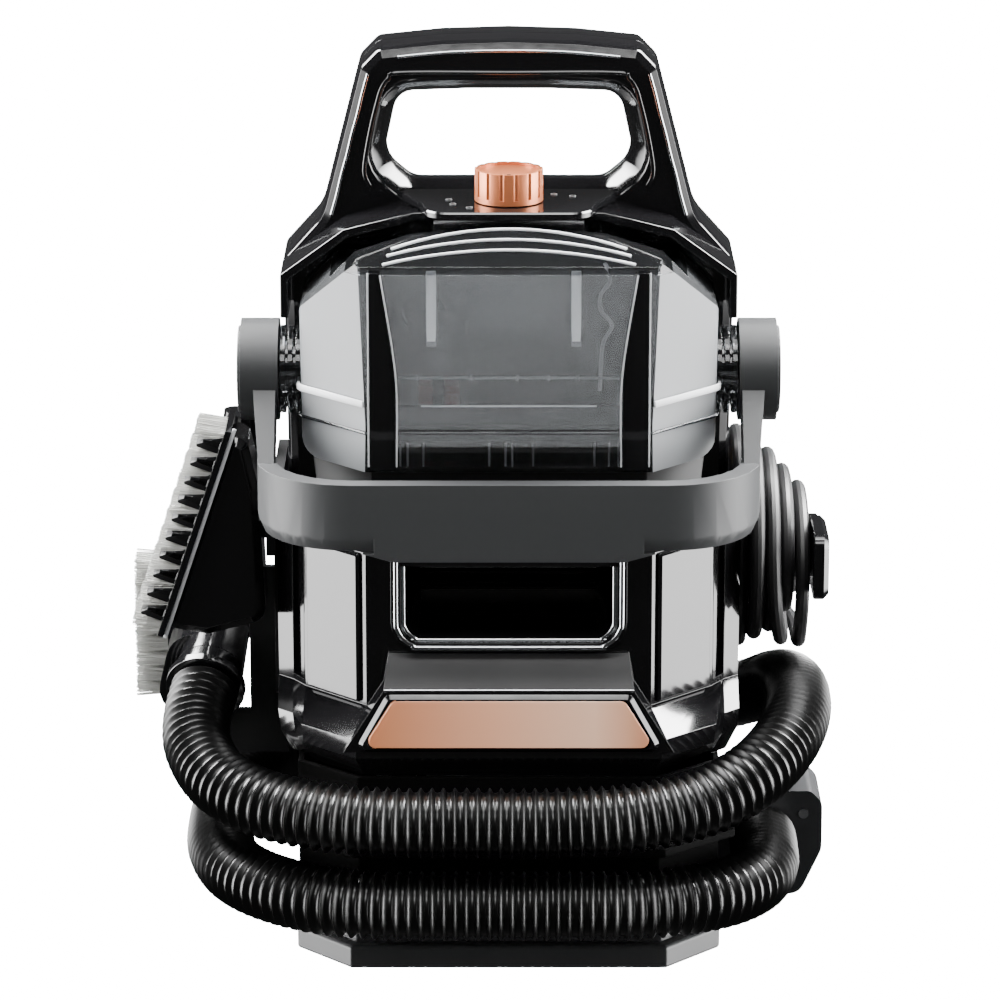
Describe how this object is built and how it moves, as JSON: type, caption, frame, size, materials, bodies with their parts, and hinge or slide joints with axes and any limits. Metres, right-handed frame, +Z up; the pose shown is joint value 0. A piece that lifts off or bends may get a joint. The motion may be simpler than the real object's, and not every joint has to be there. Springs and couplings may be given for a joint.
{
  "type": "carpet cleaner machine",
  "caption": "Portable carpet cleaner with a fixed top handle, a clear dirty water tank under a swinging bail, a ribbed hose wrapped round the base and stored brush tools.",
  "frame": {"origin": "on the floor under the middle of the base", "axes": "+Z up, -Y towards the front where the dirty tank and dial are, +X to the right as seen from the front"},
  "size_m": [0.3545, 0.3, 0.4385],
  "materials": {
    "base_plastic": "fine grained charcoal moulding",
    "black_gloss": "piano black, polished",
    "black_matt": "satin black moulding",
    "grey_satin": "satin dark grey moulding",
    "grey_port": "satin charcoal moulding",
    "rose_gold": "satin rose gold metallised plastic",
    "smoke_clear": "polished smoke tinted clear plastic",
    "tube_clear": "milky flexible tube",
    "rubber": "soft matt rubber",
    "hose_black": "ribbed flexible plastic, slightly shiny",
    "cord_black": "smooth soft sheath",
    "steel": "machined steel",
    "aluminium": "die cast",
    "circuit_green": "solder mask",
    "red_plastic": "red moulding",
    "bristle_white": "nylon bristle",
    "marking_white": "translucent lens"
  },
  "bodies": {
    "root": {"base_pan": "base_plastic", "rubber_feet": "rubber", "lower_housing": "base_plastic", "front_cover": "black_gloss", "front_panels": "black_gloss", "recess_trim": "black_gloss", "badge_frame": "black_gloss", "badge_plate": "rose_gold", "rear_cover": "black_gloss", "vent_grille": "black_matt", "handle_front_shell": "black_gloss", "handle_rear_shell": "black_gloss", "top_deck": "black_gloss", "control_panel": "black_gloss", "indicator_lenses": "marking_white", "rotary_switch": "black_matt", "circuit_board": "circuit_green", "duct_seal": "rubber", "valve_seat": "black_matt", "vacuum_motor": "steel", "motor_bearings": "steel", "fan_housing": "black_matt", "water_pump": "black_matt", "steam_heater": "aluminium", "water_tubes": "tube_clear", "air_ducts": "black_matt", "hose_port": "grey_port", "hose": "hose_black", "hose_cuff": "black_gloss", "spray_handle": "black_gloss", "tool_holder": "black_matt", "cord_drum": "black_matt", "cord_winding": "cord_black", "cord_ends": "cord_black", "plug": "cord_black", "strain_relief": "rubber", "housing_screws": "steel"},
    "control_dial": {"control_dial": "rose_gold", "dial_shaft": "steel"},
    "dirty_tank": {"tank_shell": "smoke_clear", "tank_lid": "smoke_clear", "tank_base": "black_matt", "inlet_stack": "smoke_clear", "float_cage": "smoke_clear", "pivot_rings": "smoke_clear"},
    "float": {"float": "red_plastic"},
    "bail": {"carry_bail": "grey_satin", "hub_caps": "grey_satin"},
    "clean_tank": {"clean_tank": "smoke_clear"},
    "filler_cap": {"filler_cap": "black_matt", "cap_seal": "rubber"},
    "tank_valve": {"tank_valve": "black_matt"},
    "fan_rotor": {"motor_shaft": "steel", "fan_impeller": "aluminium"},
    "trigger": {"trigger": "grey_port"},
    "brush_tool": {"brush_tool": "black_gloss", "brush_bristles": "bristle_white"},
    "small_tool": {"small_tool": "black_gloss", "small_bristles": "bristle_white"},
    "cord_hook": {"cord_hook": "black_gloss"}
  },
  "joints": [
    {"name": "dial_turn", "type": "hinge", "parent": "root", "child": "control_dial", "pos_m": [0, -0.035, 0.365], "axis": [0, 0, 1], "range_deg": [-120, 120]},
    {"name": "tank_slide", "type": "slide", "parent": "root", "child": "dirty_tank", "axis": [0, -1, 0], "range_m": [0, 0.12]},
    {"name": "bail_swing", "type": "hinge", "parent": "dirty_tank", "child": "bail", "pos_m": [0, -0.035, 0.281], "axis": [-1, 0, 0], "range_deg": [0, 95]},
    {"name": "float_rise", "type": "slide", "parent": "dirty_tank", "child": "float", "axis": [0, 0, 1], "range_m": [0, 0.022]},
    {"name": "clean_lift", "type": "slide", "parent": "root", "child": "clean_tank", "axis": [0, 0, 1], "range_m": [0, 0.15]},
    {"name": "cap_turn", "type": "hinge", "parent": "clean_tank", "child": "filler_cap", "pos_m": [0, 0.076, 0.33], "axis": [0, 0, 1], "range_deg": [0, 270]},
    {"name": "valve_open", "type": "slide", "parent": "clean_tank", "child": "tank_valve", "axis": [0, 0, 1], "range_m": [0, 0.004], "stiffness_N_per_m": 300},
    {"name": "fan_spin", "type": "hinge", "parent": "root", "child": "fan_rotor", "pos_m": [0, 0.014, 0.1], "axis": [0, 0, 1], "continuous": true},
    {"name": "trigger_pull", "type": "hinge", "parent": "root", "child": "trigger", "pos_m": [-0.158, 0.021, 0.168], "axis": [0, -1, 0], "range_deg": [0, 8], "stiffness_Nm_per_rad": 0.6},
    {"name": "brush_off", "type": "slide", "parent": "root", "child": "brush_tool", "axis": [-1, 0, 0], "range_m": [0, 0.05]},
    {"name": "small_tool_off", "type": "slide", "parent": "root", "child": "small_tool", "axis": [-1, 0, 0], "range_m": [0, 0.05]},
    {"name": "hook_turn", "type": "hinge", "parent": "root", "child": "cord_hook", "pos_m": [0.1505, 0.005, 0.185], "axis": [1, 0, 0], "range_deg": [0, 90]}
  ]
}
